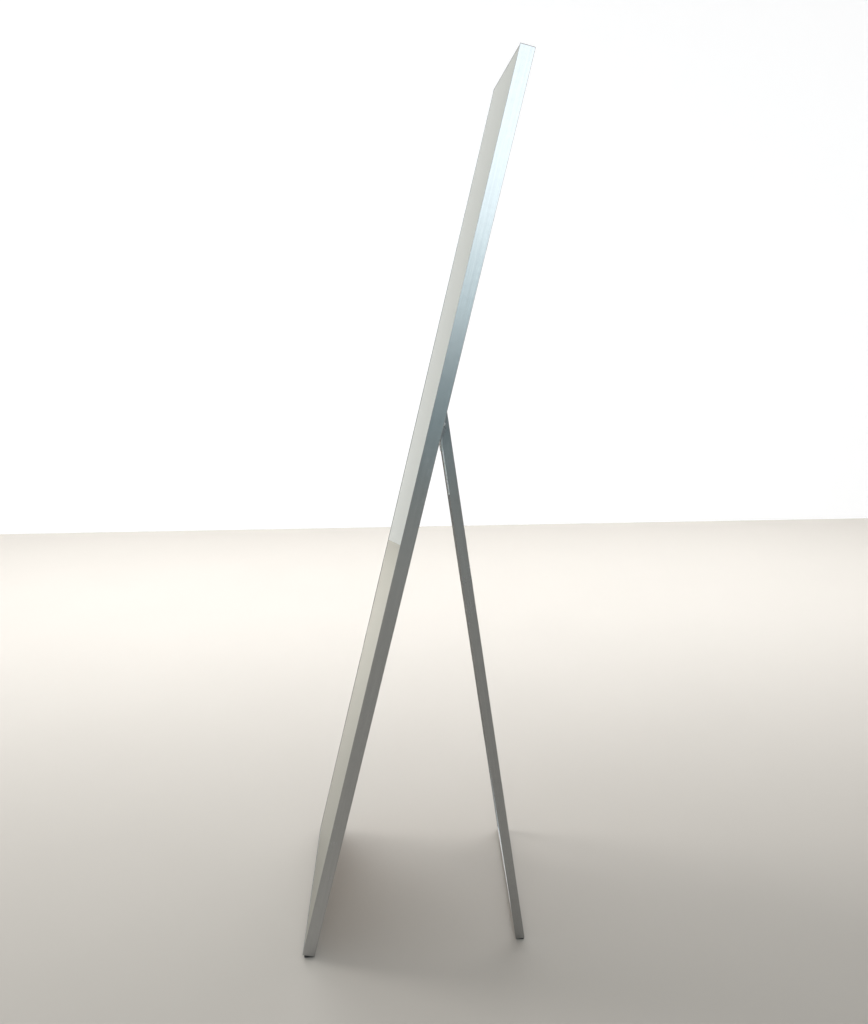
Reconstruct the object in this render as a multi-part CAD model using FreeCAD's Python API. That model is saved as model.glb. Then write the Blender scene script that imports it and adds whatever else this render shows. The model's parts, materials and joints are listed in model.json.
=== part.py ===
"""Tall slim floor mirror in a thin aluminium frame, held up by a hinged U-shaped stand.

Millimetres, +Z up. The origin is on the floor, at the centre of the footprint. The glass
faces -Y and leans back towards +Y, and the stand is behind it. Each piece is drawn straight,
in one of two frames of its own, and is then laid into place:

  frame space   x across, y = depth behind the frame's front face, z = up along the frame
  stand space   x across, y = depth and z = up along a leg, both from the pivot's axis
"""
import FreeCAD, Part
import math
import os

V = FreeCAD.Vector
X_AXIS = V(1, 0, 0)
Y_AXIS = V(0, 1, 0)
Z_AXIS = V(0, 0, 1)

# ---------------------------------------------------------------- driving dimensions
FRAME_HEIGHT = 1600.0      # length of a stile, along the slope
FRAME_WIDTH = 400.0
FRAME_DEPTH = 23.0
WALL = 1.2                 # wall of the frame's extrusion
LIP = 2.5                  # how much of the front the frame's lip covers, on each side
LIP_THICKNESS = 0.5        # thin, so that the glass looks flush
BOX_WIDTH = 15.0           # hollow box behind the glass, seen from the back
EDGE_ROUND = 0.5           # rounding of the frame's long edges
LIP_ROUND = 0.2            # rounding of the lip's inner edge
CORNER_ROUND = 1.0         # deburred outer corners, of the frame and of the stand
SEAM = 0.2                 # open line of a mitre
TILT = 13.9                # lean of the mirror from upright, degrees

GLASS_THICKNESS = 3.0
FILM_THICKNESS = 0.2
PANEL_THICKNESS = 2.0
GLAZING_PLAY = 0.2         # between the back panel and the box
EDGE_PLAY = 0.3            # between the glass's edges and the frame's wall
SETTING_BLOCK = (60.0, 0.8)     # length, thickness
SETTING_BLOCK_X = 100.0

STAND_WIDTH = 356.0        # over the legs' outer faces
LEG_DEPTH = 17.0
LEG_WIDTH = 14.0
LEG_WALL = 1.2
LEG_ROUND = 0.9            # rounding of the tubes' long edges
STAND_LEAN = 8.0           # lean of the stand from upright, the other way, degrees
PIVOT_UP = 1055.0          # from the frame's bottom end to the pivot, along the frame
PIVOT_DEPTH = 16.5         # pivot's axis behind the frame's front face
LEG_ABOVE_PIVOT = 2.0

FLOOR_GAP = 1.5            # between the floor and the lowest metal edge, at both feet
FOOT_LENGTH = 40.0         # rubber feet, along x
FOOT_INSET = 0.8           # from the outer faces of the frame and of the stand
FRAME_FOOT_DEPTH = (3.0, 21.0)  # where a frame foot starts and ends, in frame depth
STAND_FOOT_INSET = 1.0

KEY_ARM = 38.0             # length of a corner key's arms
KEY_PLAY = 0.2             # around a key or a plug, in its tube
KEY_SCREW_FROM_END = 30.0  # key screws, from the outer corner

SCREW_RADIUS = 1.5
SCREW_LENGTH = 9.0
COUNTERSINK_RADIUS = 2.8
PAN_HEAD = (3.0, 1.6)      # radius, height
RECESS = (0.8, 3.0, 0.7)   # cross recess: slot width, length, depth
HEAD_ROUND = 0.7           # rounding of a raised head's rim, as a share of its height

PIN_RADIUS = 2.5
PIN_PLAY = 0.05            # radial running clearance of the pivot
PIN_HEAD = (4.5, 2.0)      # radius, height, on the stand's inner side
SWAGE = (4.0, 1.5)         # peened end of the pin, behind the bracket
SWAGE_HOLE = 4.5           # radius of its hole in the stile

BRACKET_THICKNESS = 2.0
BRACKET_DEPTH = (9.0, 22.0)     # front and back edge, in frame depth
BRACKET_UP = (-29.0, 29.0)      # lower and upper edge, from the pivot
BRACKET_CORNER = 3.0
BRACKET_SCREW_UP = 21.0         # screws above and below the pivot
SPACER_RADIUS = 4.5

ARM_THICKNESS = 1.2
ARM_BELOW_PIVOT = 138.0    # length of the arm's tongue
ARM_TONGUE = 1.5           # height of its side flanges along the tongue
ARM_EAR = 6.0              # how far the ears reach behind the pivot
ARM_EAR_BELOW = 28.0       # where the ears start to narrow
ARM_TAPER_BELOW = 62.0     # where they have narrowed down to the tongue
ARM_BEND = (0.22, 0.42)    # a point of that curve: its width and its drop, as shares of the whole
FINGER_HALF = 3.0          # stop finger above the pivot
FINGER_UP = 12.0
STOP_TAB = (6.0, 12.0)     # start and end of the bracket's stop tab, along the leg
STOP_GAP = 0.2             # between finger and tab when the stand is open
SIDE_GAP = 0.3             # between moving and fixed pieces, along the pivot
ARM_RIVET_UP = -20.0
ARM_RIVET_RADIUS = 1.6
ARM_RIVET_HEAD = (3.2, 0.9)     # radius, height
TONGUE_RIVET_UP = -128.0

PLUG_CAP = 1.2             # thickness of the plug's cap on the leg's top end
PLUG_DEPTH = 9.0           # how deep it goes in, cut away for the pivot pin

CLOSE = 0.01               # edges no further than this from a place are taken to be there
PARALLEL = 0.999           # cosine above which two directions are taken to be the same

# ---------------------------------------------------------------- worked out from them
OPENING = TILT + STAND_LEAN            # angle between stand and mirror
HALF_WIDTH = FRAME_WIDTH / 2
BOX_FRONT = LIP_THICKNESS + GLASS_THICKNESS + FILM_THICKNESS + PANEL_THICKNESS + GLAZING_PLAY
BOX_INNER = HALF_WIDTH - BOX_WIDTH     # |x| of the box's inner wall, on both stiles
LEG_OUTER = STAND_WIDTH / 2
LEG_INNER = LEG_OUTER - LEG_WIDTH
HALF_LEG = LEG_DEPTH / 2
BRACKET_FACE = BOX_INNER - BRACKET_THICKNESS


def sin(degrees):
    return math.sin(math.radians(degrees))


def cos(degrees):
    return math.cos(math.radians(degrees))


# The frame stands on its back bottom edge, the stand on its front bottom edge.
FRAME_Z = FLOOR_GAP + FRAME_DEPTH * sin(TILT)
PIVOT_RISE = PIVOT_UP * cos(TILT) - PIVOT_DEPTH * sin(TILT)
PIVOT_RUN = PIVOT_UP * sin(TILT) + PIVOT_DEPTH * cos(TILT)
PIVOT_Z = FRAME_Z + PIVOT_RISE
LEG_BELOW_PIVOT = (PIVOT_Z - FLOOR_GAP - HALF_LEG * sin(STAND_LEAN)) / cos(STAND_LEAN)
FOOTPRINT = PIVOT_RUN + LEG_BELOW_PIVOT * sin(STAND_LEAN) + HALF_LEG * cos(STAND_LEAN)
FRAME_Y = -FOOTPRINT / 2
PIVOT_Y = FRAME_Y + PIVOT_RUN


# ---------------------------------------------------------------- shapes and placing
def block(x, y, z):
    """A box between the two limits given for each axis, in any order."""
    low = V(min(x), min(y), min(z))
    return Part.makeBox(max(x) - low.x, max(y) - low.y, max(z) - low.z, low)


def rod(radius, start, end):
    """A cylinder between two points."""
    return Part.makeCylinder(radius, (end - start).Length, start, end - start)


def prism(points, along):
    """The flat outline through the points, pushed along a vector."""
    outline = Part.makePolygon(points + points[:1])
    return Part.Face(outline).extrude(along)


def edges_along(shape, direction):
    """The straight edges that run along a direction."""
    return [edge for edge in shape.Edges
            if isinstance(edge.Curve, Part.Line)
            and abs(edge.tangentAt(edge.FirstParameter).dot(direction)) > PARALLEL]


def softened(shape, radius, direction, spots=None):
    """Round the edges along a direction: all of them, or those nearest the spots."""
    edges = edges_along(shape, direction)
    if spots is not None:
        edges = [edge for edge in edges
                 if any(direction.cross(edge.CenterOfMass - spot).Length < CLOSE for spot in spots)]
    return shape.makeFillet(radius, edges)


def turned(shape, degrees, axis=Y_AXIS, centre=V(0, 0, 0)):
    copy = shape.copy()
    copy.rotate(centre, axis, degrees)
    return copy


def flipped(shape):
    """The left-hand twin of a right-hand piece."""
    return shape.mirror(V(0, 0, 0), X_AXIS)


def on_frame(shape):
    """Lay a piece drawn in frame space into place."""
    placed = turned(shape, -TILT, X_AXIS)
    placed.translate(V(0, FRAME_Y, FRAME_Z))
    return placed


def on_stand(shape):
    """Lay a piece drawn in stand space into place."""
    placed = turned(shape, STAND_LEAN, X_AXIS)
    placed.translate(V(0, PIVOT_Y, PIVOT_Z))
    return placed


def at_pivot(shape):
    """Move a piece drawn around the pivot, but square to the frame, into frame space."""
    moved = shape.copy()
    moved.translate(V(0, PIVOT_DEPTH, PIVOT_UP))
    return moved


# ---------------------------------------------------------------- fasteners
def domed(head, top_x, height):
    """Round the outer rim of a fastener's head whose top is at top_x."""
    rim = [edge for edge in head.Edges if abs(edge.CenterOfMass.x - top_x) < CLOSE]
    return head.makeFillet(height * HEAD_ROUND, rim)


def cross_recess(tip, inward, across, along):
    """The cross cut into a screw's head; the three directions are unit vectors."""
    width, length, depth = RECESS
    cutter = None
    for long_way, short_way in ((across, along), (along, across)):
        corner = tip - long_way * (length / 2) - short_way * (width / 2)
        points = [corner, corner + long_way * length]
        points.append(points[1] + short_way * width)
        points.append(corner + short_way * width)
        slot = prism(points, inward * depth)
        cutter = slot if cutter is None else cutter.fuse(slot)
    return cutter


def countersunk_screw(head, inward, across, along):
    """Flush screw: head is the centre of its flat face, inward the way it points."""
    neck = head + inward * WALL
    cone = Part.makeCone(COUNTERSINK_RADIUS, SCREW_RADIUS, WALL, head, inward)
    shank = rod(SCREW_RADIUS, neck, head + inward * SCREW_LENGTH)
    return cone.fuse(shank).cut(cross_recess(head, inward, across, along))


def screw_hole(head, inward):
    """What a countersunk screw takes away from the pieces that it joins."""
    cone = Part.makeCone(COUNTERSINK_RADIUS, SCREW_RADIUS, WALL, head, inward)
    return cone.fuse(rod(SCREW_RADIUS, head, head + inward * SCREW_LENGTH))


# ---------------------------------------------------------------- the frame
def key_screw_spots():
    """Flush screws that hold the corner keys, on the frame's back face, in frame space."""
    middle = BOX_WIDTH / 2
    spots = []
    for side in (-1, 1):
        for up in (0, 1):
            for across, rise in ((middle, KEY_SCREW_FROM_END), (KEY_SCREW_FROM_END, middle)):
                z = FRAME_HEIGHT - rise if up else rise
                spots.append(V(side * (HALF_WIDTH - across), FRAME_DEPTH, z))
    return spots


def frame_bar(length, reach):
    """A mitred bar whose outer face stands at x = reach, centred on z = 0."""
    outline = [V(reach, 0, 0), V(reach, FRAME_DEPTH, 0), V(reach - BOX_WIDTH, FRAME_DEPTH, 0),
               V(reach - BOX_WIDTH, BOX_FRONT, 0), V(reach - WALL, BOX_FRONT, 0),
               V(reach - WALL, LIP_THICKNESS, 0), V(reach - LIP, LIP_THICKNESS, 0),
               V(reach - LIP, 0, 0)]
    bar = prism(outline, V(0, 0, length))
    bar = softened(bar, EDGE_ROUND, Z_AXIS, outline[:3])
    bar = softened(bar, LIP_ROUND, Z_AXIS, outline[-1:])
    bore = block((reach - BOX_WIDTH + WALL, reach - WALL),
                 (BOX_FRONT + WALL, FRAME_DEPTH - WALL), (0, length))
    bar = bar.cut(bore)
    bar.translate(V(0, 0, -length / 2))
    for end in (-1, 1):
        tip = end * (length / 2 - SEAM * cos(45))
        size = end * FRAME_DEPTH
        wedge = [V(reach + FRAME_DEPTH, 0, tip + size), V(reach - FRAME_DEPTH, 0, tip - size),
                 V(reach - FRAME_DEPTH, 0, tip + size)]
        bar = bar.cut(prism(wedge, V(0, FRAME_DEPTH, 0)))
    return bar


def frame_bars():
    """The four bars in frame space, with the holes for the key screws."""
    centre = V(0, 0, FRAME_HEIGHT / 2)
    bars = {"right_stile": frame_bar(FRAME_HEIGHT, HALF_WIDTH),
            "left_stile": turned(frame_bar(FRAME_HEIGHT, HALF_WIDTH), 180),
            "bottom_rail": turned(frame_bar(FRAME_WIDTH, FRAME_HEIGHT / 2), 90),
            "top_rail": turned(frame_bar(FRAME_WIDTH, FRAME_HEIGHT / 2), -90)}
    slab = block((-HALF_WIDTH, HALF_WIDTH), (0, FRAME_DEPTH), (0, FRAME_HEIGHT))
    slab = softened(slab, CORNER_ROUND, Y_AXIS)
    for name, bar in bars.items():
        bar.translate(centre)
        bar = bar.common(slab)
        for spot in key_screw_spots():
            bar = bar.cut(screw_hole(spot, -Y_AXIS))
        bars[name] = bar
    for name, side in (("right_stile", 1), ("left_stile", -1)):
        bars[name] = bars[name].cut(stile_hinge_holes(side))
    return bars


def stile_hinge_holes(side):
    """Holes in a stile's inner wall for the pin's peened end and the bracket's screws."""
    inner = BOX_INNER * side
    behind = (BOX_INNER + WALL) * side
    holes = rod(SWAGE_HOLE, V(inner, PIVOT_DEPTH, PIVOT_UP), V(behind, PIVOT_DEPTH, PIVOT_UP))
    for up in (-BRACKET_SCREW_UP, BRACKET_SCREW_UP):
        z = PIVOT_UP + up
        middle = sum(BRACKET_DEPTH) / 2
        holes = holes.fuse(rod(SCREW_RADIUS, V(inner, middle, z), V(behind, middle, z)))
    return holes


def corner_key(side, top):
    """L-shaped key inside two boxes that meet at a corner of the frame."""
    near = WALL + KEY_PLAY
    far = BOX_WIDTH - WALL - KEY_PLAY
    depth = (BOX_FRONT + WALL + KEY_PLAY, FRAME_DEPTH - WALL - KEY_PLAY)
    upright = block((HALF_WIDTH - near, HALF_WIDTH - far), depth, (near, KEY_ARM))
    lying = block((HALF_WIDTH - near, HALF_WIDTH - KEY_ARM), depth, (near, far))
    key = upright.fuse(lying).removeSplitter()
    if side < 0:
        key = flipped(key)
    if top:
        key = key.mirror(V(0, 0, FRAME_HEIGHT / 2), Z_AXIS)
    for spot in key_screw_spots():
        key = key.cut(screw_hole(spot, -Y_AXIS))
    return key


def glazing():
    """Glass, the film on its back, and the back panel, one behind the other."""
    half = HALF_WIDTH - WALL - EDGE_PLAY
    low = WALL + SETTING_BLOCK[1]
    high = FRAME_HEIGHT - WALL - EDGE_PLAY
    sheets = {}
    depth = LIP_THICKNESS
    for name, thickness in (("mirror_glass", GLASS_THICKNESS), ("safety_film", FILM_THICKNESS),
                            ("back_panel", PANEL_THICKNESS)):
        sheets[name] = block((-half, half), (depth, depth + thickness), (low, high))
        depth += thickness
    return sheets


def setting_blocks():
    """Two thin rubber blocks in the bottom rail that carry the glass."""
    length, thickness = SETTING_BLOCK
    pieces = []
    for side in (-1, 1):
        middle = side * SETTING_BLOCK_X
        pieces.append(block((middle - length / 2, middle + length / 2),
                            (LIP_THICKNESS, BOX_FRONT), (WALL, WALL + thickness)))
    return Part.makeCompound(pieces)


def level_foot(top_front, top_back, outer, side):
    """Rubber foot under a sloping face: its top follows the face, its bottom is the floor."""
    start = side * (outer - FOOT_INSET - FOOT_LENGTH / 2) - FOOT_LENGTH / 2
    points = [V(start, top_front.y, 0), V(start, top_back.y, 0),
              V(start, top_back.y, top_back.z), V(start, top_front.y, top_front.z)]
    return prism(points, V(FOOT_LENGTH, 0, 0))


def frame_point(depth, up):
    """Where a point of the frame's side stands, in the object's own axes."""
    return V(0, FRAME_Y + depth * cos(TILT) + up * sin(TILT),
             FRAME_Z - depth * sin(TILT) + up * cos(TILT))


def stand_point(depth, up):
    """Where a point of the stand's side stands, in the object's own axes."""
    return V(0, PIVOT_Y + depth * cos(STAND_LEAN) - up * sin(STAND_LEAN),
             PIVOT_Z + depth * sin(STAND_LEAN) + up * cos(STAND_LEAN))


# ---------------------------------------------------------------- hinge, fixed half
def hinge_bracket():
    """Steel plate on the stile's inner wall, with a tab that stops the opening stand."""
    front, back = (depth - PIVOT_DEPTH for depth in BRACKET_DEPTH)
    plate = block((BRACKET_FACE, BOX_INNER), (front, back), BRACKET_UP)
    plate = softened(plate, BRACKET_CORNER, X_AXIS)
    tab_back = -FINGER_HALF - STOP_GAP
    tab = block((LEG_OUTER + SIDE_GAP, BOX_INNER),
                (tab_back - BRACKET_THICKNESS, tab_back), STOP_TAB)
    bracket = plate.fuse(turned(tab, OPENING, X_AXIS)).removeSplitter()
    bracket = bracket.cut(rod(PIN_RADIUS, V(0, 0, 0), V(HALF_WIDTH, 0, 0)))
    middle = (front + back) / 2
    for up in (-BRACKET_SCREW_UP, BRACKET_SCREW_UP):
        bracket = bracket.cut(rod(SCREW_RADIUS, V(0, middle, up), V(HALF_WIDTH, middle, up)))
    return at_pivot(bracket)


def bracket_screws():
    """Pan-head screws that hold both brackets."""
    radius, height = PAN_HEAD
    screws = []
    for up in (-BRACKET_SCREW_UP, BRACKET_SCREW_UP):
        seat = V(BRACKET_FACE, sum(BRACKET_DEPTH) / 2, PIVOT_UP + up)
        head_top = seat - X_AXIS * height
        head = rod(radius, head_top, seat)
        head = domed(head, head_top.x, height)
        shank = rod(SCREW_RADIUS, seat, seat + X_AXIS * SCREW_LENGTH)
        recess = cross_recess(head_top, X_AXIS, Y_AXIS, Z_AXIS)
        screws.append(head.fuse(shank).cut(recess))
    return Part.makeCompound(screws + [flipped(screw) for screw in screws])


def pivot_pin():
    """Shouldered rivet that the stand turns on, peened over behind the bracket."""
    head_radius, head_height = PIN_HEAD
    swage_radius, swage_height = SWAGE
    seat = LEG_INNER - ARM_THICKNESS - SIDE_GAP
    head = rod(head_radius, V(seat - head_height, 0, 0), V(seat, 0, 0))
    head = domed(head, seat - head_height, head_height)
    shank = rod(PIN_RADIUS, V(seat, 0, 0), V(BOX_INNER, 0, 0))
    swage = rod(swage_radius, V(BOX_INNER, 0, 0), V(BOX_INNER + swage_height, 0, 0))
    return at_pivot(head.fuse(shank).fuse(swage))


def pivot_spacer():
    """Nylon bush that keeps the arm off the bracket."""
    start = LEG_OUTER + ARM_THICKNESS + SIDE_GAP
    ring = rod(SPACER_RADIUS, V(start, 0, 0), V(BRACKET_FACE, 0, 0))
    return at_pivot(ring.cut(rod(PIN_RADIUS, V(start, 0, 0), V(BRACKET_FACE, 0, 0))))


# ---------------------------------------------------------------- the stand
def stand_screw_spots():
    """Flush screws that hold the stand's corner keys, on its back face, in stand space."""
    middle = LEG_WIDTH / 2
    spots = []
    for side in (-1, 1):
        for across, rise in ((middle, KEY_SCREW_FROM_END), (KEY_SCREW_FROM_END, middle)):
            spots.append(V(side * (LEG_OUTER - across), HALF_LEG, rise - LEG_BELOW_PIVOT))
    return spots


def mitre_wedge(side, above):
    """What a mitre takes away at a lower corner of the stand: all above it, or all below."""
    shift = SEAM * cos(45) * (-1 if above else 1)
    low = -LEG_BELOW_PIVOT - LEG_WIDTH
    high = -LEG_BELOW_PIVOT + 2 * LEG_WIDTH
    outer = side * (LEG_OUTER + LEG_WIDTH)
    inner = side * (LEG_INNER - LEG_WIDTH)
    tip = V(outer, -HALF_LEG, high) if above else V(inner, -HALF_LEG, low)
    points = [V(outer, -HALF_LEG, low + shift), V(inner, -HALF_LEG, high + shift), tip]
    return prism(points, V(0, LEG_DEPTH, 0))


def stand_slab():
    """The stand's outline as a slab, with its lower corners deburred."""
    slab = block((-LEG_OUTER, LEG_OUTER), (-HALF_LEG, HALF_LEG),
                 (-LEG_BELOW_PIVOT, LEG_ABOVE_PIVOT))
    lower = [V(side * LEG_OUTER, 0, -LEG_BELOW_PIVOT) for side in (-1, 1)]
    return softened(slab, CORNER_ROUND, Y_AXIS, lower)


def pivot_bore(x):
    """What the turning pin takes away between two values of x."""
    return rod(PIN_RADIUS + PIN_PLAY, V(min(x), 0, 0), V(max(x), 0, 0))


def leg():
    """Right-hand leg: a flat tube, bored for the pivot, mitred at the floor."""
    height = (-LEG_BELOW_PIVOT, LEG_ABOVE_PIVOT)
    tube = softened(block((LEG_INNER, LEG_OUTER), (-HALF_LEG, HALF_LEG), height),
                    LEG_ROUND, Z_AXIS)
    tube = tube.cut(block((LEG_INNER + LEG_WALL, LEG_OUTER - LEG_WALL),
                          (-HALF_LEG + LEG_WALL, HALF_LEG - LEG_WALL), height))
    tube = tube.cut(mitre_wedge(1, above=False)).common(stand_slab())
    tube = tube.cut(pivot_bore((LEG_INNER, LEG_OUTER)))
    tube = tube.cut(rod(ARM_RIVET_RADIUS, V(LEG_INNER, 0, ARM_RIVET_UP),
                        V(LEG_OUTER, 0, ARM_RIVET_UP)))
    tube = tube.cut(tongue_rivet_hole())
    for spot in stand_screw_spots():
        tube = tube.cut(screw_hole(spot, -Y_AXIS))
    return tube


def crossbar():
    """The bar of the U, between the legs' mitres."""
    low = -LEG_BELOW_PIVOT
    tube = softened(block((-LEG_OUTER, LEG_OUTER), (-HALF_LEG, HALF_LEG), (low, low + LEG_WIDTH)),
                    LEG_ROUND, X_AXIS)
    tube = tube.cut(block((-LEG_OUTER, LEG_OUTER), (-HALF_LEG + LEG_WALL, HALF_LEG - LEG_WALL),
                          (low + LEG_WALL, low + LEG_WIDTH - LEG_WALL)))
    for side in (-1, 1):
        tube = tube.cut(mitre_wedge(side, above=True))
    tube = tube.common(stand_slab())
    for spot in stand_screw_spots():
        tube = tube.cut(screw_hole(spot, -Y_AXIS))
    return tube


def stand_corner_key():
    """Right-hand L-shaped key inside the stand's corner."""
    near = LEG_WALL + KEY_PLAY
    far = LEG_WIDTH - LEG_WALL - KEY_PLAY
    low = -LEG_BELOW_PIVOT
    depth = (-HALF_LEG + near, HALF_LEG - near)
    upright = block((LEG_OUTER - near, LEG_OUTER - far), depth, (low + near, low + KEY_ARM))
    lying = block((LEG_OUTER - near, LEG_OUTER - KEY_ARM), depth, (low + near, low + far))
    key = upright.fuse(lying).removeSplitter()
    for spot in stand_screw_spots():
        key = key.cut(screw_hole(spot, -Y_AXIS))
    return key


def leg_plug():
    """Plastic plug in a leg's top end, forked around the pivot pin."""
    cap = softened(block((LEG_INNER, LEG_OUTER), (-HALF_LEG, HALF_LEG),
                         (LEG_ABOVE_PIVOT, LEG_ABOVE_PIVOT + PLUG_CAP)), LEG_ROUND, Z_AXIS)
    inset = LEG_WALL + KEY_PLAY
    stem = block((LEG_INNER + inset, LEG_OUTER - inset),
                 (-HALF_LEG + inset, HALF_LEG - inset),
                 (LEG_ABOVE_PIVOT - PLUG_DEPTH, LEG_ABOVE_PIVOT))
    slot_half = PIN_RADIUS + SIDE_GAP
    slot = block((LEG_INNER, LEG_OUTER), (-slot_half, slot_half),
                 (LEG_ABOVE_PIVOT - PLUG_DEPTH, 0))
    slot = slot.fuse(rod(slot_half, V(LEG_INNER, 0, 0), V(LEG_OUTER, 0, 0)))
    return cap.fuse(stem).cut(slot)


# ---------------------------------------------------------------- hinge, moving half
def tongue_rivet_hole():
    """Countersunk hole through the arm's tongue and the leg's front wall."""
    front = V((LEG_INNER + LEG_OUTER) / 2, -HALF_LEG - ARM_THICKNESS, TONGUE_RIVET_UP)
    cone = Part.makeCone(COUNTERSINK_RADIUS, ARM_RIVET_RADIUS, ARM_THICKNESS, front, Y_AXIS)
    return cone.fuse(rod(ARM_RIVET_RADIUS, front, front + Y_AXIS * (ARM_THICKNESS + LEG_WALL)))


def arm_side():
    """Outline of the arm seen from the side, pushed across its whole width."""
    x = LEG_INNER - ARM_THICKNESS
    front = -HALF_LEG - ARM_THICKNESS
    edge = -HALF_LEG + ARM_TONGUE
    tip_round = (edge - front) / 2
    tip_end = -ARM_BELOW_PIVOT
    width, drop = ARM_BEND
    bend = V(x, edge + (ARM_EAR - edge) * width,
             -ARM_EAR_BELOW - (ARM_TAPER_BELOW - ARM_EAR_BELOW) * drop)
    lines = [
        Part.makeLine(V(x, front, 0), V(x, front, tip_end + tip_round)),
        Part.Arc(V(x, front, tip_end + tip_round), V(x, front + tip_round, tip_end),
                 V(x, edge, tip_end + tip_round)).toShape(),
        Part.makeLine(V(x, edge, tip_end + tip_round), V(x, edge, -ARM_TAPER_BELOW)),
        Part.Arc(V(x, edge, -ARM_TAPER_BELOW), bend, V(x, ARM_EAR, -ARM_EAR_BELOW)).toShape(),
        Part.makeLine(V(x, ARM_EAR, -ARM_EAR_BELOW), V(x, ARM_EAR, 0)),
        Part.Arc(V(x, ARM_EAR, 0), V(x, 0, ARM_EAR), V(x, -ARM_EAR, 0)).toShape(),
        Part.makeLine(V(x, -ARM_EAR, 0), V(x, front, 0)),
    ]
    across = LEG_WIDTH + 2 * ARM_THICKNESS
    return Part.Face(Part.Wire(lines)).extrude(V(across, 0, 0))


def hinge_arm():
    """Right-hand arm: a pressed channel over the leg's front, with ears on the pivot."""
    front = -HALF_LEG - ARM_THICKNESS
    sides = (LEG_INNER - ARM_THICKNESS, LEG_OUTER + ARM_THICKNESS)
    channel = block(sides, (front, ARM_EAR), (-ARM_BELOW_PIVOT, ARM_EAR))
    channel = softened(channel, LEG_ROUND, Z_AXIS, [V(x, front, 0) for x in sides])
    arm = arm_side().common(channel)
    arm = arm.cut(block((LEG_INNER, LEG_OUTER), (-HALF_LEG, HALF_LEG), (-ARM_BELOW_PIVOT, ARM_EAR)))
    finger = block((LEG_OUTER, LEG_OUTER + ARM_THICKNESS), (-FINGER_HALF, FINGER_HALF),
                   (0, FINGER_UP))
    arm = arm.fuse(finger).removeSplitter()
    arm = arm.cut(pivot_bore(sides))
    arm = arm.cut(rod(ARM_RIVET_RADIUS, V(sides[0], 0, ARM_RIVET_UP), V(sides[1], 0, ARM_RIVET_UP)))
    return arm.cut(tongue_rivet_hole())


def arm_rivets():
    """Two rivets on each arm: one through its ears, one flush in its tongue."""
    head_radius, head_height = ARM_RIVET_HEAD
    start = LEG_INNER - ARM_THICKNESS
    end = LEG_OUTER + ARM_THICKNESS
    cross = rod(ARM_RIVET_RADIUS, V(start, 0, ARM_RIVET_UP), V(end, 0, ARM_RIVET_UP))
    for seat, outward in ((start, -1), (end, 1)):
        top = seat + outward * head_height
        head = rod(head_radius, V(seat, 0, ARM_RIVET_UP), V(top, 0, ARM_RIVET_UP))
        cross = cross.fuse(domed(head, top, head_height))
    pieces = [cross, tongue_rivet_hole()]
    return Part.makeCompound(pieces + [flipped(piece) for piece in pieces])


# ---------------------------------------------------------------- all the pieces
def frame_pieces():
    pieces = frame_bars()
    pieces.update(glazing())
    pieces["setting_blocks"] = setting_blocks()
    for end, top in (("top", True), ("bottom", False)):
        for hand, side in (("left", -1), ("right", 1)):
            pieces["corner_key_%s_%s" % (end, hand)] = corner_key(side, top)
    screws = [countersunk_screw(spot, -Y_AXIS, X_AXIS, Z_AXIS) for spot in key_screw_spots()]
    pieces["corner_key_screws"] = Part.makeCompound(screws)
    pieces["bracket_screws"] = bracket_screws()
    for name, make in (("hinge_bracket", hinge_bracket), ("pivot_pin", pivot_pin),
                       ("pivot_spacer", pivot_spacer)):
        pieces[name + "_right"] = make()
        pieces[name + "_left"] = flipped(make())
    return pieces


def stand_pieces():
    pieces = {"stand_crossbar": crossbar(), "arm_rivets": arm_rivets()}
    for name, make in (("leg", leg), ("stand_corner_key", stand_corner_key),
                       ("leg_plug", leg_plug), ("hinge_arm", hinge_arm)):
        pieces[name + "_right"] = make()
        pieces[name + "_left"] = flipped(make())
    screws = [countersunk_screw(spot, -Y_AXIS, X_AXIS, Z_AXIS) for spot in stand_screw_spots()]
    pieces["stand_key_screws"] = Part.makeCompound(screws)
    return pieces


def feet():
    pieces = {}
    stand_half = HALF_LEG - STAND_FOOT_INSET
    for hand, side in (("left", -1), ("right", 1)):
        front, back = (frame_point(depth, 0) for depth in FRAME_FOOT_DEPTH)
        pieces["frame_foot_" + hand] = level_foot(front, back, HALF_WIDTH, side)
        front = stand_point(-stand_half, -LEG_BELOW_PIVOT)
        back = stand_point(stand_half, -LEG_BELOW_PIVOT)
        pieces["stand_foot_" + hand] = level_foot(front, back, LEG_OUTER, side)
    return pieces


def build():
    pieces = {name: on_frame(shape) for name, shape in frame_pieces().items()}
    pieces.update({name: on_stand(shape) for name, shape in stand_pieces().items()})
    pieces.update(feet())
    return pieces


def main():
    os.makedirs("parts", exist_ok=True)
    for name, shape in build().items():
        shape.exportStep("parts/%s.step" % name)
    print("pivot y %.3f z %.3f, opening %.1f degrees" % (PIVOT_Y, PIVOT_Z, OPENING))
    print("leg below pivot %.1f, footprint %.1f" % (LEG_BELOW_PIVOT, FOOTPRINT))


main()
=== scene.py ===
"""Looks for the tall slim floor mirror: brushed aluminium, silvered glass, a hinged U-shaped stand.

Metres, in the frame of the CAD model. The glass faces -Y and leans back by TILT; the stand
leans the other way. Every finish is a node material in object coordinates, laid along its bar.
"""

import json
import math

import bmesh
import bpy
from mathutils import Matrix, Vector


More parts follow.
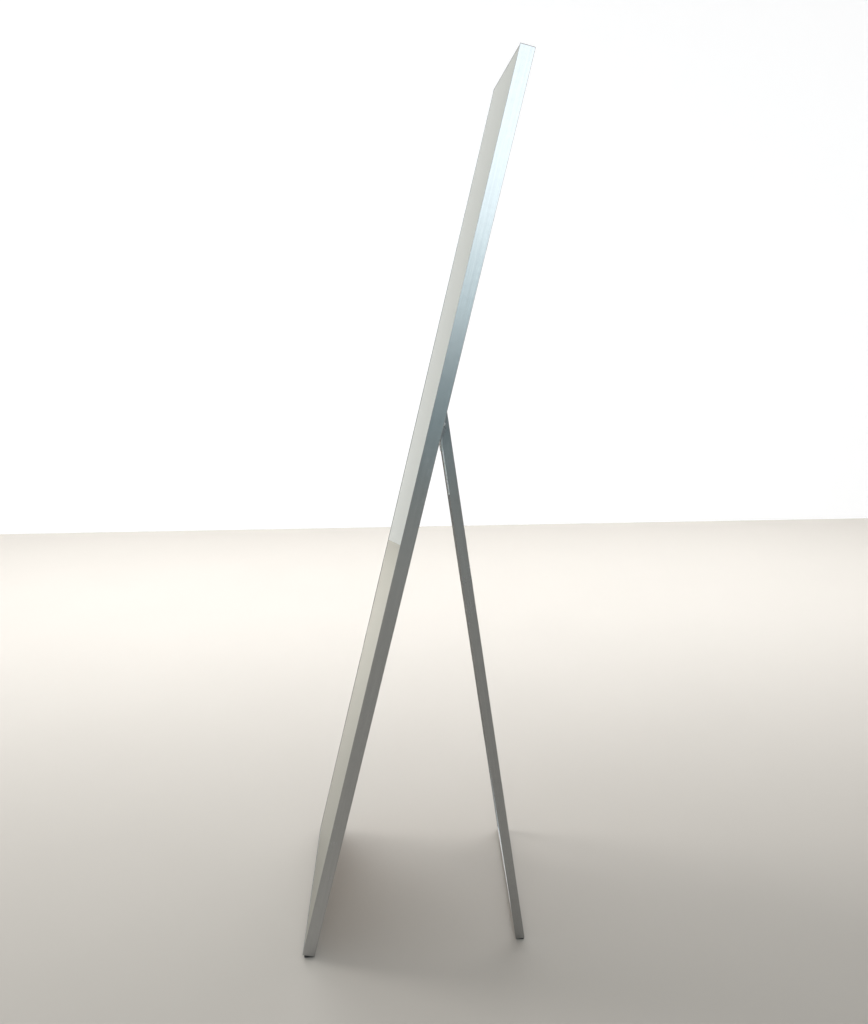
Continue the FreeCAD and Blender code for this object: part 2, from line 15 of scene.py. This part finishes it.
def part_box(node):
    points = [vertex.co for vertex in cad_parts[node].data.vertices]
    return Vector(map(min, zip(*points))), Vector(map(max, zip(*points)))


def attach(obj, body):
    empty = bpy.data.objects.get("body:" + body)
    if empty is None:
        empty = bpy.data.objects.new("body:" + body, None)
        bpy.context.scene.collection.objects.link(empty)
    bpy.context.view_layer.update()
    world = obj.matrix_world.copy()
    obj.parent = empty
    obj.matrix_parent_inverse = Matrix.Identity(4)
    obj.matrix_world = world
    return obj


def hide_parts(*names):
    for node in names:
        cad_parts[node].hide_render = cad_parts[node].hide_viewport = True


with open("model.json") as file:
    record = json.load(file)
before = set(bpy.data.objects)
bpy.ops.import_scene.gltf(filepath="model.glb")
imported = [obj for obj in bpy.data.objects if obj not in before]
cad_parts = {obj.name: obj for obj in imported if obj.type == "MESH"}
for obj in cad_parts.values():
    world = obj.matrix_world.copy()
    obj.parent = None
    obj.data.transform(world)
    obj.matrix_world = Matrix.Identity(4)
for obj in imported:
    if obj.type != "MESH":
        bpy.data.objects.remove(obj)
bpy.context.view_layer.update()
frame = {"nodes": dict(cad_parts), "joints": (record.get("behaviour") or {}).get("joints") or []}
NODES = frame["nodes"]

TILT = math.radians(13.9)          # lean of the mirror from upright
STAND_LEAN = math.radians(8.0)     # lean of the stand, the other way
FRAME_TURN = TILT                  # about X, from object coordinates to along the frame
STAND_TURN = -STAND_LEAN           # about X, from object coordinates to along the stand
NOISE_LOW, NOISE_HIGH = 0.3, 0.7   # nearly all of a noise texture's values lie between these


# ---------------------------------------------------------------- node helpers
class Graph:
    """A material's node tree, built with one short call for each node."""

    def __init__(self, name):
        self.material = bpy.data.materials.new(name)
        self.material.use_nodes = True
        self.tree = self.material.node_tree
        self.tree.nodes.clear()

    def add(self, kind, settings=None, **sockets):
        """A node; sockets are given by name, with _ for a space, as a value or an output."""
        node = self.tree.nodes.new("ShaderNode" + kind)
        for key, value in (settings or {}).items():
            setattr(node, key, value)
        for key, value in sockets.items():
            self.put(node.inputs[key.replace("_", " ")], value)
        return node

    def put(self, socket, value):
        """Link an output to a socket, or set its value."""
        if isinstance(value, bpy.types.NodeSocket):
            self.tree.links.new(value, socket)
        elif isinstance(value, (tuple, list)) and len(value) == 3 and socket.type == "RGBA":
            socket.default_value = (*value, 1.0)
        else:
            socket.default_value = value

    def place(self, turn=0.0, scale=(1.0, 1.0, 1.0)):
        """Object coordinates turned about X into a bar's own frame, then scaled."""
        here = self.add("TexCoord").outputs["Object"]
        turned = self.add("VectorRotate", {"rotation_type": "X_AXIS"}, Vector=here, Angle=turn)
        return self.add("Mapping", Vector=turned.outputs[0], Scale=scale).outputs[0]

    def noise(self, where, scale, detail=2.0, rough=0.5):
        """Smooth noise from 0 to 1, with about scale blotches to a metre."""
        node = self.add("TexNoise", Vector=where, Scale=scale, Detail=detail, Roughness=rough)
        return node.outputs["Fac"]

    def span(self, value, low, high, start=0.0, end=1.0):
        """The value, stretched from low..high to start..end and held there."""
        node = self.add("MapRange")
        for socket, number in zip(node.inputs[:5], (value, low, high, start, end)):
            self.put(socket, number)
        return node.outputs[0]

    def grade(self, noise, start=0.0, end=1.0):
        """A noise's usual swing, laid over start..end."""
        return self.span(noise, NOISE_LOW, NOISE_HIGH, start, end)

    def math(self, operation, a, b=0.0):
        node = self.add("Math", {"operation": operation})
        self.put(node.inputs[0], a)
        self.put(node.inputs[1], b)
        return node.outputs[0]

    def mix(self, share, a, b):
        """Colour a with a share of colour b in it."""
        node = self.add("MixRGB")
        for socket, value in zip(node.inputs[:3], (share, a, b)):
            self.put(socket, value)
        return node.outputs[0]

    def bump(self, height, distance, strength, onto=None):
        """A normal for a relief of height times distance metres, laid over another normal."""
        node = self.add("Bump", Height=height, Distance=distance, Strength=strength)
        if onto is not None:
            self.put(node.inputs["Normal"], onto)
        return node.outputs[0]

    def finish(self, **sockets):
        """End the tree in one Principled shader, and return the material."""
        shader = self.add("BsdfPrincipled", **sockets)
        self.add("OutputMaterial", Surface=shader.outputs[0])
        return self.material


# ---------------------------------------------------------------- finishes
ALONG_X, ALONG_Z = 0, 2            # the axis that a bar's brushing follows
BRUSH_STRETCH = 0.012              # spacing of the brushed grain across it, over its length
SCRATCHES = 2600.0                 # to a metre, across the brushing
STREAKS = SCRATCHES / 7
METAL_ROUGH = 0.225
METAL_ROUGH_SWING = 0.03
# Painted shade by the pivot, where the stand lies in shadow beside the frame: how far it reaches,
# and its colour.
PIVOT_SHADE_ON_TUBE = (0.030, 0.075)    # from the pivot: full up to here, none beyond there
PIVOT_SHADE_ON_STEEL = (0.040, 0.064)
PIVOT_SHADE_COLOUR = (0.19, 0.195, 0.20)

ALU_LIGHT = (0.478, 0.482, 0.482)
ALU_DARK = (0.375, 0.38, 0.383)
LEG_LIGHT = (0.445, 0.452, 0.452)
LEG_DARK = (0.35, 0.356, 0.36)
# Painted shade by the pivot on the legs, as a share:
LEG_PIVOT_SHADE = 0.45
# The crossbar is the legs' aluminium painted far lighter: a painted highlight for its brightly lit
# top face.
CROSS_HIGHLIT_LIGHT = (0.80, 0.80, 0.79)
CROSS_HIGHLIT_DARK = (0.68, 0.68, 0.675)
ARM_LIGHT = (0.80, 0.80, 0.79)
ARM_DARK = (0.68, 0.68, 0.67)
# Painted shade by the pivot on the hinge arms, as a share:
ARM_PIVOT_SHADE = 0.9
BRACKET_LIGHT = (0.62, 0.63, 0.63)
BRACKET_DARK = (0.48, 0.49, 0.50)
# Painted shade by the pivot on the hinge brackets, as a share:
BRACKET_PIVOT_SHADE = 0.3
FASTENER_LIGHT = (0.70, 0.70, 0.69)
FASTENER_DARK = (0.45, 0.45, 0.46)

MIRROR_COLOUR = (0.78, 0.785, 0.775)
MIRROR_EDGE_TINT = (0.462, 0.480, 0.430, 1.0)   # reflectance at a grazing angle, over the plain one
DUST = (0.60, 0.60, 0.58)

BOARD_LIGHT = (0.43, 0.285, 0.165)
BOARD_DARK = (0.17, 0.095, 0.048)
BOARD_CLOUD = (0.25, 0.155, 0.085)
BOARD_FLECK = (0.07, 0.04, 0.022)
BOARD_WARP = 0.02                  # how far its fibres are bent, in metres


def near_pivot(graph, turn, reach):
    """1 close to the pivot's line, seen along a bar, and 0 far from it, as reach says."""
    full, none = reach
    pivot = Matrix.Rotation(turn, 3, "X") @ Vector(frame["joints"][0]["pos_m"])
    height = graph.add("SeparateXYZ", Vector=graph.place(turn)).outputs["Z"]
    below = graph.math("SUBTRACT", pivot.z, height)
    return graph.span(graph.math("ABSOLUTE", below), full, none, 1.0, 0.0)


def brushed_metal(name, turn, along, light, dark, pivot_shade=0.0):
    """Metal brushed along one axis: fine scratches, soft streaks, handling marks.

    The last argument is how much darker it is next to the hinge: painted shade, for the shadow
    beside the frame.
    """
    graph = Graph(name)
    stretch = [1.0, 1.0, 1.0]
    stretch[along] = BRUSH_STRETCH
    lines = graph.place(turn, stretch)
    grain = graph.noise(lines, SCRATCHES, detail=3.0, rough=0.65)
    streaks = graph.noise(lines, STREAKS)
    plain = graph.place(turn)
    clouds = graph.noise(plain, 9.0, detail=3.0, rough=0.55)
    marks = graph.noise(plain, 70.0, detail=5.0, rough=0.62)
    tone = graph.math("ADD", graph.math("MULTIPLY", grain, 0.4),
                      graph.math("MULTIPLY", streaks, 0.3))
    tone = graph.math("ADD", tone, graph.math("MULTIPLY", marks, 0.3))
    colour = graph.mix(graph.grade(tone), dark, light)
    soil = graph.span(graph.math("MULTIPLY", clouds, marks), 0.27, 0.45, 0.0, 0.10)
    colour = graph.mix(soil, colour, tuple(0.62 * part for part in dark))
    if pivot_shade:
        # Painted shade: darker towards the pivot, where the tube lies in shadow beside the frame.
        painted_shade = graph.math("MULTIPLY", near_pivot(graph, turn, PIVOT_SHADE_ON_TUBE), pivot_shade)
        colour = graph.mix(painted_shade, colour, tuple(0.5 * part for part in dark))
    roughness = graph.grade(grain, METAL_ROUGH - METAL_ROUGH_SWING, METAL_ROUGH + METAL_ROUGH_SWING)
    roughness = graph.math("ADD", roughness, graph.math("MULTIPLY", soil, 0.5))
    normal = graph.bump(grain, 0.00003, 0.30)
    return graph.finish(Base_Color=colour, Metallic=1.0, Roughness=roughness, Normal=normal)


def zinc_steel(name, turn, light, dark, pivot_shade):
    """Pressed steel plated with zinc: faint spangle, fine texture, painted shade at the pivot."""
    graph = Graph(name)
    plain = graph.place(turn)
    cells = graph.add("TexVoronoi", Vector=plain, Scale=420.0).outputs["Color"]
    spangle = graph.noise(plain, 260.0, detail=4.0, rough=0.6)
    colour = graph.mix(graph.span(spangle, 0.35, 0.65), dark, light)
    colour = graph.mix(0.06, colour, cells)
    # Painted shade: darker towards the pivot, where the hinge lies in shadow beside the frame.
    painted_shade = graph.math("MULTIPLY", near_pivot(graph, turn, PIVOT_SHADE_ON_STEEL), pivot_shade)
    colour = graph.mix(painted_shade, colour, PIVOT_SHADE_COLOUR)
    roughness = graph.grade(spangle, 0.24, 0.40)
    normal = graph.bump(graph.noise(plain, 1500.0), 0.00004, 0.3)
    return graph.finish(Base_Color=colour, Metallic=1.0, Roughness=roughness, Normal=normal)


def fastener_metal(name, turn):
    """Bright screws and rivets, turned heads, a little duller in places."""
    graph = Graph(name)
    spots = graph.noise(graph.place(turn), 900.0, detail=4.0, rough=0.6)
    colour = graph.mix(graph.span(spots, 0.35, 0.65), FASTENER_DARK, FASTENER_LIGHT)
    roughness = graph.grade(spots, 0.18, 0.36)
    normal = graph.bump(spots, 0.00005, 0.35)
    return graph.finish(Base_Color=colour, Metallic=1.0, Roughness=roughness, Normal=normal)


def silvered_glass():
    """Silver behind clear glass: near perfect, with a faint film of dust and wiping marks."""
    graph = Graph("silvered_glass")
    plain = graph.place(FRAME_TURN)
    wiped = graph.noise(graph.place(FRAME_TURN, (1.0, 1.0, 0.35)), 26.0, detail=5.0, rough=0.6)
    dust = graph.noise(plain, 1300.0, rough=0.6)
    film = graph.math("MULTIPLY", graph.span(wiped, 0.46, 0.78), graph.span(dust, 0.4, 0.75))
    colour = graph.mix(graph.math("MULTIPLY", film, 0.25), MIRROR_COLOUR, DUST)
    roughness = graph.span(film, 0.0, 1.0, 0.006, 0.07)
    wave = graph.bump(graph.noise(plain, 2.2, detail=1.0), 0.0003, 0.04)
    return graph.finish(Base_Color=colour, Metallic=1.0, Roughness=roughness, Normal=wave,
                        Specular_Tint=MIRROR_EDGE_TINT)


def hardboard():
    """Smooth brown hardboard with short matted fibres and the odd dark fleck."""
    graph = Graph("hardboard")
    plain = graph.place(FRAME_TURN)
    bent = graph.add("TexNoise", Vector=plain, Scale=60.0, Detail=2.0).outputs["Color"]
    warped = graph.add("VectorMath", {"operation": "MULTIPLY_ADD"})
    for socket, value in zip(warped.inputs[:3], (bent, (BOARD_WARP,) * 3, plain)):
        graph.put(socket, value)
    fibres = graph.noise(warped.outputs[0], 700.0, detail=6.0, rough=0.7)
    felt = graph.noise(plain, 160.0, detail=4.0, rough=0.6)
    clouds = graph.noise(plain, 5.0, detail=3.0)
    colour = graph.mix(graph.span(fibres, 0.32, 0.68), BOARD_DARK, BOARD_LIGHT)
    colour = graph.mix(graph.grade(clouds, 0.0, 0.5), colour, BOARD_CLOUD)
    flecks = graph.span(graph.noise(plain, 330.0, detail=1.0), 0.66, 0.73, 0.0, 0.7)
    colour = graph.mix(flecks, colour, BOARD_FLECK)
    roughness = graph.grade(felt, 0.52, 0.74)
    coarse = graph.bump(felt, 0.0003, 0.35)
    normal = graph.bump(fibres, 0.00012, 0.5, coarse)
    return graph.finish(Base_Color=colour, Roughness=roughness, Normal=normal)


def moulded(name, colour, darker, rough, grain):
    """Moulded plastic or rubber with a fine eroded surface and slight clouding."""
    graph = Graph(name)
    plain = graph.place()
    fine = graph.noise(plain, grain, detail=3.0, rough=0.6)
    clouds = graph.noise(plain, 55.0, detail=3.0, rough=0.55)
    tone = graph.mix(graph.grade(clouds), darker, colour)
    roughness = graph.grade(clouds, rough - 0.07, rough + 0.07)
    normal = graph.bump(fine, 0.00006, 0.6)
    return graph.finish(Base_Color=tone, Roughness=roughness, Normal=normal)


stile_metal = brushed_metal("stile_aluminium", FRAME_TURN, ALONG_Z, ALU_LIGHT, ALU_DARK)
rail_metal = brushed_metal("rail_aluminium", FRAME_TURN, ALONG_X, ALU_LIGHT, ALU_DARK)
leg_metal = brushed_metal("leg_aluminium", STAND_TURN, ALONG_Z, LEG_LIGHT, LEG_DARK, LEG_PIVOT_SHADE)
# Painted highlight: the crossbar's copy of the leg aluminium, much lighter.
highlit_cross_metal = brushed_metal("cross_aluminium_highlit", STAND_TURN, ALONG_X, CROSS_HIGHLIT_LIGHT, CROSS_HIGHLIT_DARK)
arm_metal = zinc_steel("arm_steel", STAND_TURN, ARM_LIGHT, ARM_DARK, ARM_PIVOT_SHADE)
bracket_metal = zinc_steel("bracket_steel", FRAME_TURN, BRACKET_LIGHT, BRACKET_DARK, BRACKET_PIVOT_SHADE)
screw_metal = fastener_metal("fastener_steel", FRAME_TURN)
mirror_finish = silvered_glass()
panel_finish = hardboard()
nylon = moulded("nylon", (0.66, 0.65, 0.60), (0.58, 0.57, 0.52), 0.42, 1800.0)
key_plastic = moulded("key_plastic", (0.05, 0.05, 0.052), (0.035, 0.035, 0.037), 0.5, 1800.0)
plug_plastic = moulded("plug_plastic", (0.075, 0.077, 0.08), (0.055, 0.056, 0.06), 0.45, 2200.0)
rubber = moulded("rubber", (0.030, 0.030, 0.031), (0.020, 0.020, 0.021), 0.68, 1500.0)
film_finish = moulded("safety_film", (0.20, 0.21, 0.22), (0.16, 0.17, 0.18), 0.35, 600.0)


def paint(material, *names):
    """Give CAD nodes a finish."""
    for name in names:
        NODES[name].material_slots[0].material = material


BOTH = ("left", "right")
paint(stile_metal, "left_stile", "right_stile")
paint(rail_metal, "top_rail", "bottom_rail")
paint(leg_metal, "leg_left", "leg_right")
paint(highlit_cross_metal, "stand_crossbar")
paint(mirror_finish, "mirror_glass")
paint(film_finish, "safety_film")
paint(panel_finish, "back_panel")
paint(rubber, "setting_blocks")
paint(screw_metal, "corner_key_screws", "stand_key_screws", "bracket_screws", "arm_rivets")
for side in BOTH:
    paint(key_plastic, "corner_key_top_" + side, "corner_key_bottom_" + side,
          "stand_corner_key_" + side)
    paint(arm_metal, "hinge_arm_" + side)
    paint(bracket_metal, "hinge_bracket_" + side)
    paint(screw_metal, "pivot_pin_" + side)
    paint(nylon, "pivot_spacer_" + side)
    paint(plug_plastic, "leg_plug_" + side)


# ---------------------------------------------------------------- rubber feet
FOOT_EASE = 0.0007                 # rounding of a foot's edges
FOOT_CLEAR = 0.0001                # the foot's upper side edges stay this far below the metal
GROOVE_DEPTH = 0.0005
RIB_PITCH = 0.0042
RIB_END, GROOVE_START, GROOVE_END = 0.62, 0.70, 0.92    # along a pitch, as shares of it


def foot_stations(low_x, high_x):
    """Places along a foot with the lift of its sole there: eased ends, and ribs between them."""
    count = int((high_x - low_x - 2 * FOOT_EASE) / RIB_PITCH)
    stations = [(low_x, FOOT_EASE)]
    for index in range(count):
        start = low_x + FOOT_EASE + index * RIB_PITCH
        stations += [(start, 0.0), (start + RIB_END * RIB_PITCH, 0.0),
                     (start + GROOVE_START * RIB_PITCH, GROOVE_DEPTH),
                     (start + GROOVE_END * RIB_PITCH, GROOVE_DEPTH)]
    return stations + [(high_x - FOOT_EASE, 0.0), (high_x, FOOT_EASE)]


def foot(name, node, body, slope, thick_front):
    """Rubber foot in the space of its CAD wedge: eased edges and a grooved sole.

    slope is the angle of the metal face above it; thick_front says which edge is the thick one.
    """
    low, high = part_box(node)
    fall = math.tan(slope)

    def top(y):
        run = (y - low.y) if thick_front else (high.y - y)
        return high.z - run * fall

    mesh = bmesh.new()
    rings = []
    for x, lift in foot_stations(low.x, high.x):
        inset = FOOT_EASE if x in (low.x, high.x) else 0.0
        front, back = low.y + inset, high.y - inset
        side_low = low.z + lift + FOOT_EASE
        profile = [(front + FOOT_EASE, low.z + lift), (back - FOOT_EASE, low.z + lift),
                   (back, min(side_low, top(back) - 2 * FOOT_CLEAR)),
                   (back, top(back) - FOOT_CLEAR),
                   (back - FOOT_EASE, top(back - FOOT_EASE)),
                   (front + FOOT_EASE, top(front + FOOT_EASE)),
                   (front, top(front) - FOOT_CLEAR),
                   (front, min(side_low, top(front) - 2 * FOOT_CLEAR))]
        rings.append([mesh.verts.new((x, y, z)) for y, z in profile])
    size = len(rings[0])
    for first, second in zip(rings, rings[1:]):
        for i in range(size):
            j = (i + 1) % size
            mesh.faces.new((first[i], first[j], second[j], second[i]))
    mesh.faces.new(list(reversed(rings[0])))
    mesh.faces.new(rings[-1])
    bmesh.ops.recalc_face_normals(mesh, faces=mesh.faces)
    data = bpy.data.meshes.new(name)
    mesh.to_mesh(data)
    mesh.free()
    piece = bpy.data.objects.new(name, data)
    bpy.context.scene.collection.objects.link(piece)
    data.materials.append(rubber)
    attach(piece, body)
    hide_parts(node)


for side in BOTH:
    foot("frame_foot_rubber_" + side, "frame_foot_" + side, "mirror", TILT, True)
    foot("stand_foot_rubber_" + side, "stand_foot_" + side, "stand", STAND_LEAN, False)


# ---------------------------------------------------------------- studio
FLOOR_RADIUS = 11.0
FLOOR_CLEARANCE = 0.0002           # below the feet, so that no two faces lie in one plane
FLOOR_CORNERS = 96
FLOOR_COLOUR = (0.57, 0.533, 0.478)
FLOOR_ROUGH = 0.85
GLOW_START, GLOW_FULL = 2.0, 8.0   # distances between which the far floor starts to glow
GLOW_STRENGTH = 0.46
GLOW_SIDE = 3.0                    # x from which the distance counts towards +X too
GLOW_SIDE_SHARE = 0.6              # and how much it counts, next to a distance along Y
WALL_X = -2.6
WALL_HALF = 7.0
WALL_BOTTOM = -0.001               # so that it passes through the floor
WALL_HEIGHT = 4.8
WALL_COLOUR = (0.35, 0.35, 0.35)
WALL_ROUGH = 0.9
WALL_GLOW = 0.71


def plain_surface(graph, colour, rough, glow):
    """One pale tone with barely visible mottling, and a glow."""
    mottle = graph.noise(graph.place(), 3.0, detail=4.0)
    pale = tuple(0.985 * part for part in colour)
    tone = graph.mix(graph.grade(mottle), pale, colour)
    return graph.finish(Base_Color=tone, Roughness=rough,
                        Emission_Color=(1.0, 1.0, 1.0), Emission_Strength=glow)


def floor_glow(graph):
    """Light that the floor gives far from the object, where it meets the sky."""
    place = graph.add("SeparateXYZ", Vector=graph.place()).outputs
    beyond = graph.math("MAXIMUM", graph.math("SUBTRACT", place["X"], GLOW_SIDE), 0.0)
    distance = graph.math("ADD", graph.math("ABSOLUTE", place["Y"]),
                          graph.math("MULTIPLY", beyond, GLOW_SIDE_SHARE))
    rise = graph.add("MapRange", {"interpolation_type": "SMOOTHSTEP"})
    limits = (GLOW_START, GLOW_FULL, 0.0, GLOW_STRENGTH)
    for socket, value in zip(rise.inputs[:5], (distance, *limits)):
        graph.put(socket, value)
    return rise.outputs[0]


def sheet(name, material, outline):
    """A flat sheet inside an outline, as part of the stage."""
    data = bpy.data.meshes.new(name)
    data.from_pydata(outline, [], [tuple(range(len(outline)))])
    data.materials.append(material)
    piece = bpy.data.objects.new(name, data)
    bpy.context.scene.collection.objects.link(piece)


floor_graph = Graph("floor_paint")
floor_finish = plain_surface(floor_graph, FLOOR_COLOUR, FLOOR_ROUGH, floor_glow(floor_graph))
wall_finish = plain_surface(Graph("wall_paint"), WALL_COLOUR, WALL_ROUGH, WALL_GLOW)
turns = [2 * math.pi * step / FLOOR_CORNERS for step in range(FLOOR_CORNERS)]
sheet("floor", floor_finish, [(FLOOR_RADIUS * math.cos(turn), FLOOR_RADIUS * math.sin(turn),
                               -FLOOR_CLEARANCE) for turn in turns])
sheet("wall", wall_finish, [(WALL_X, y, z) for y, z in (
    (-WALL_HALF, WALL_BOTTOM), (WALL_HALF, WALL_BOTTOM),
    (WALL_HALF, WALL_HEIGHT), (-WALL_HALF, WALL_HEIGHT))])


def area_light(name, spot, aim, width, height, power, colour=(1.0, 1.0, 1.0)):
    """A rectangular lamp at a spot, turned to face the aim."""
    data = bpy.data.lights.new(name, "AREA")
    data.shape = "RECTANGLE"
    data.size = width
    data.size_y = height
    data.energy = power
    data.color = colour
    light = bpy.data.objects.new(name, data)
    light.location = spot
    direction = Vector(aim) - Vector(spot)
    light.rotation_euler = direction.to_track_quat("-Z", "Y").to_euler()
    bpy.context.scene.collection.objects.link(light)
    return light


PANEL_X = 3.9                      # the light panels beside the object, one above the other
PANEL_WIDTH = 2.6


def side_panel(name, middle, height, power, colour):
    """One panel of the bank of lights that the metal's side faces mirror."""
    area_light(name, (PANEL_X, 0.0, middle), (0.0, 0.0, middle), PANEL_WIDTH, height, power, colour)


side_panel("top_softbox", 3.11, 1.32, 23.5, (0.90, 0.955, 1.0))
side_panel("side_softbox", 1.91, 1.08, 21.2, (0.82, 0.94, 1.0))
side_panel("side_step", 1.09, 0.56, 4.9, (0.68, 0.93, 1.0))
side_panel("cool_fill", 0.40, 0.54, 1.0, (0.08, 0.70, 0.95))
wash = area_light("back_wash", (-1.7, 0.0, 3.0), (-1.7, 0.0, 0.0), 1.4, 6.0, 52.0,
                  (0.92, 0.945, 1.0))
wash.data.spread = math.radians(80)
wash.visible_glossy = False
key = area_light("key", (-0.9, -2.4, 3.4), (0.0, 0.0, 0.6), 0.9, 0.9, 34.0)
key.visible_glossy = False


HORIZON_FALL = 3.0                 # how fast the horizon's light fades upwards, as a power
FRONT_FALL = 2.0                   # and the front's light, to its sides


def sky(ambient, horizon, front, front_way, back, back_way, colour):
    """Soft surroundings: an even tone, lighter towards the horizon, the front and the back.

    ambient, horizon and front are strengths, and back is a share of front.
    """
    world = bpy.data.worlds.new("studio")
    world.use_nodes = True
    tree = world.node_tree

    def node(kind, operation, *values):
        made = tree.nodes.new("ShaderNode" + kind)
        made.operation = operation
        for socket, value in zip(made.inputs, values):
            if isinstance(value, bpy.types.NodeSocket):
                tree.links.new(value, socket)
            else:
                socket.default_value = value
        return made.outputs["Value"]

    way = tree.nodes.new("ShaderNodeTexCoord").outputs["Generated"]
    height = node("Math", "MAXIMUM", node("VectorMath", "DOT_PRODUCT", way, (0.0, 0.0, 1.0)), 0.0)
    low = node("Math", "POWER", node("Math", "SUBTRACT", 1.0, height), HORIZON_FALL)
    facing = node("Math", "MAXIMUM", node("VectorMath", "DOT_PRODUCT", way, front_way), 0.0)
    behind = node("Math", "MAXIMUM", node("VectorMath", "DOT_PRODUCT", way, back_way), 0.0)
    facing = node("Math", "POWER", facing, FRONT_FALL)
    glow = node("Math", "MULTIPLY_ADD", behind, back, facing)
    even = node("Math", "MULTIPLY_ADD", low, horizon, ambient)
    total = node("Math", "MULTIPLY_ADD", glow, front, even)
    background = tree.nodes["Background"]
    background.inputs["Color"].default_value = (*colour, 1.0)
    tree.links.new(total, background.inputs["Strength"])
    bpy.context.scene.world = world


sky(ambient=0.11, horizon=0.40, front=0.46, front_way=(0.0, -0.8, 0.6),
    back=0.55, back_way=(0.0, 0.94, 0.34), colour=(0.97, 0.985, 1.0))


# ---------------------------------------------------------------- camera
EYE = Vector((1.6502, 0.0001, 1.2782))
YAW = math.radians(3.733)          # from -X towards +Y
PITCH = math.radians(16.402)       # downwards
ROLL = math.radians(0.015)
FOCAL = 32.52                      # millimetres, on a sensor of SENSOR_WIDTH
SENSOR_WIDTH = 36.0
SHIFT = (-0.0305, 0.0085)

level = Vector((-math.cos(YAW), math.sin(YAW), 0.0))
up = Vector((0.0, 0.0, 1.0))
ahead = level * math.cos(PITCH) - up * math.sin(PITCH)
above = up * math.cos(PITCH) + level * math.sin(PITCH)
right = Vector((math.sin(YAW), math.cos(YAW), 0.0))
across = right * math.cos(ROLL) + above * math.sin(ROLL)
upward = above * math.cos(ROLL) - right * math.sin(ROLL)
camera_data = bpy.data.cameras.new("camera")
camera_data.lens = FOCAL
camera_data.sensor_width = SENSOR_WIDTH
camera_data.shift_x, camera_data.shift_y = SHIFT
camera = bpy.data.objects.new("camera", camera_data)
camera.matrix_world = Matrix((
    (across.x, upward.x, -ahead.x, EYE.x),
    (across.y, upward.y, -ahead.y, EYE.y),
    (across.z, upward.z, -ahead.z, EYE.z),
    (0.0, 0.0, 0.0, 1.0)))
bpy.context.scene.collection.objects.link(camera)
bpy.context.scene.camera = camera
bpy.context.scene.view_settings.view_transform = "Standard"
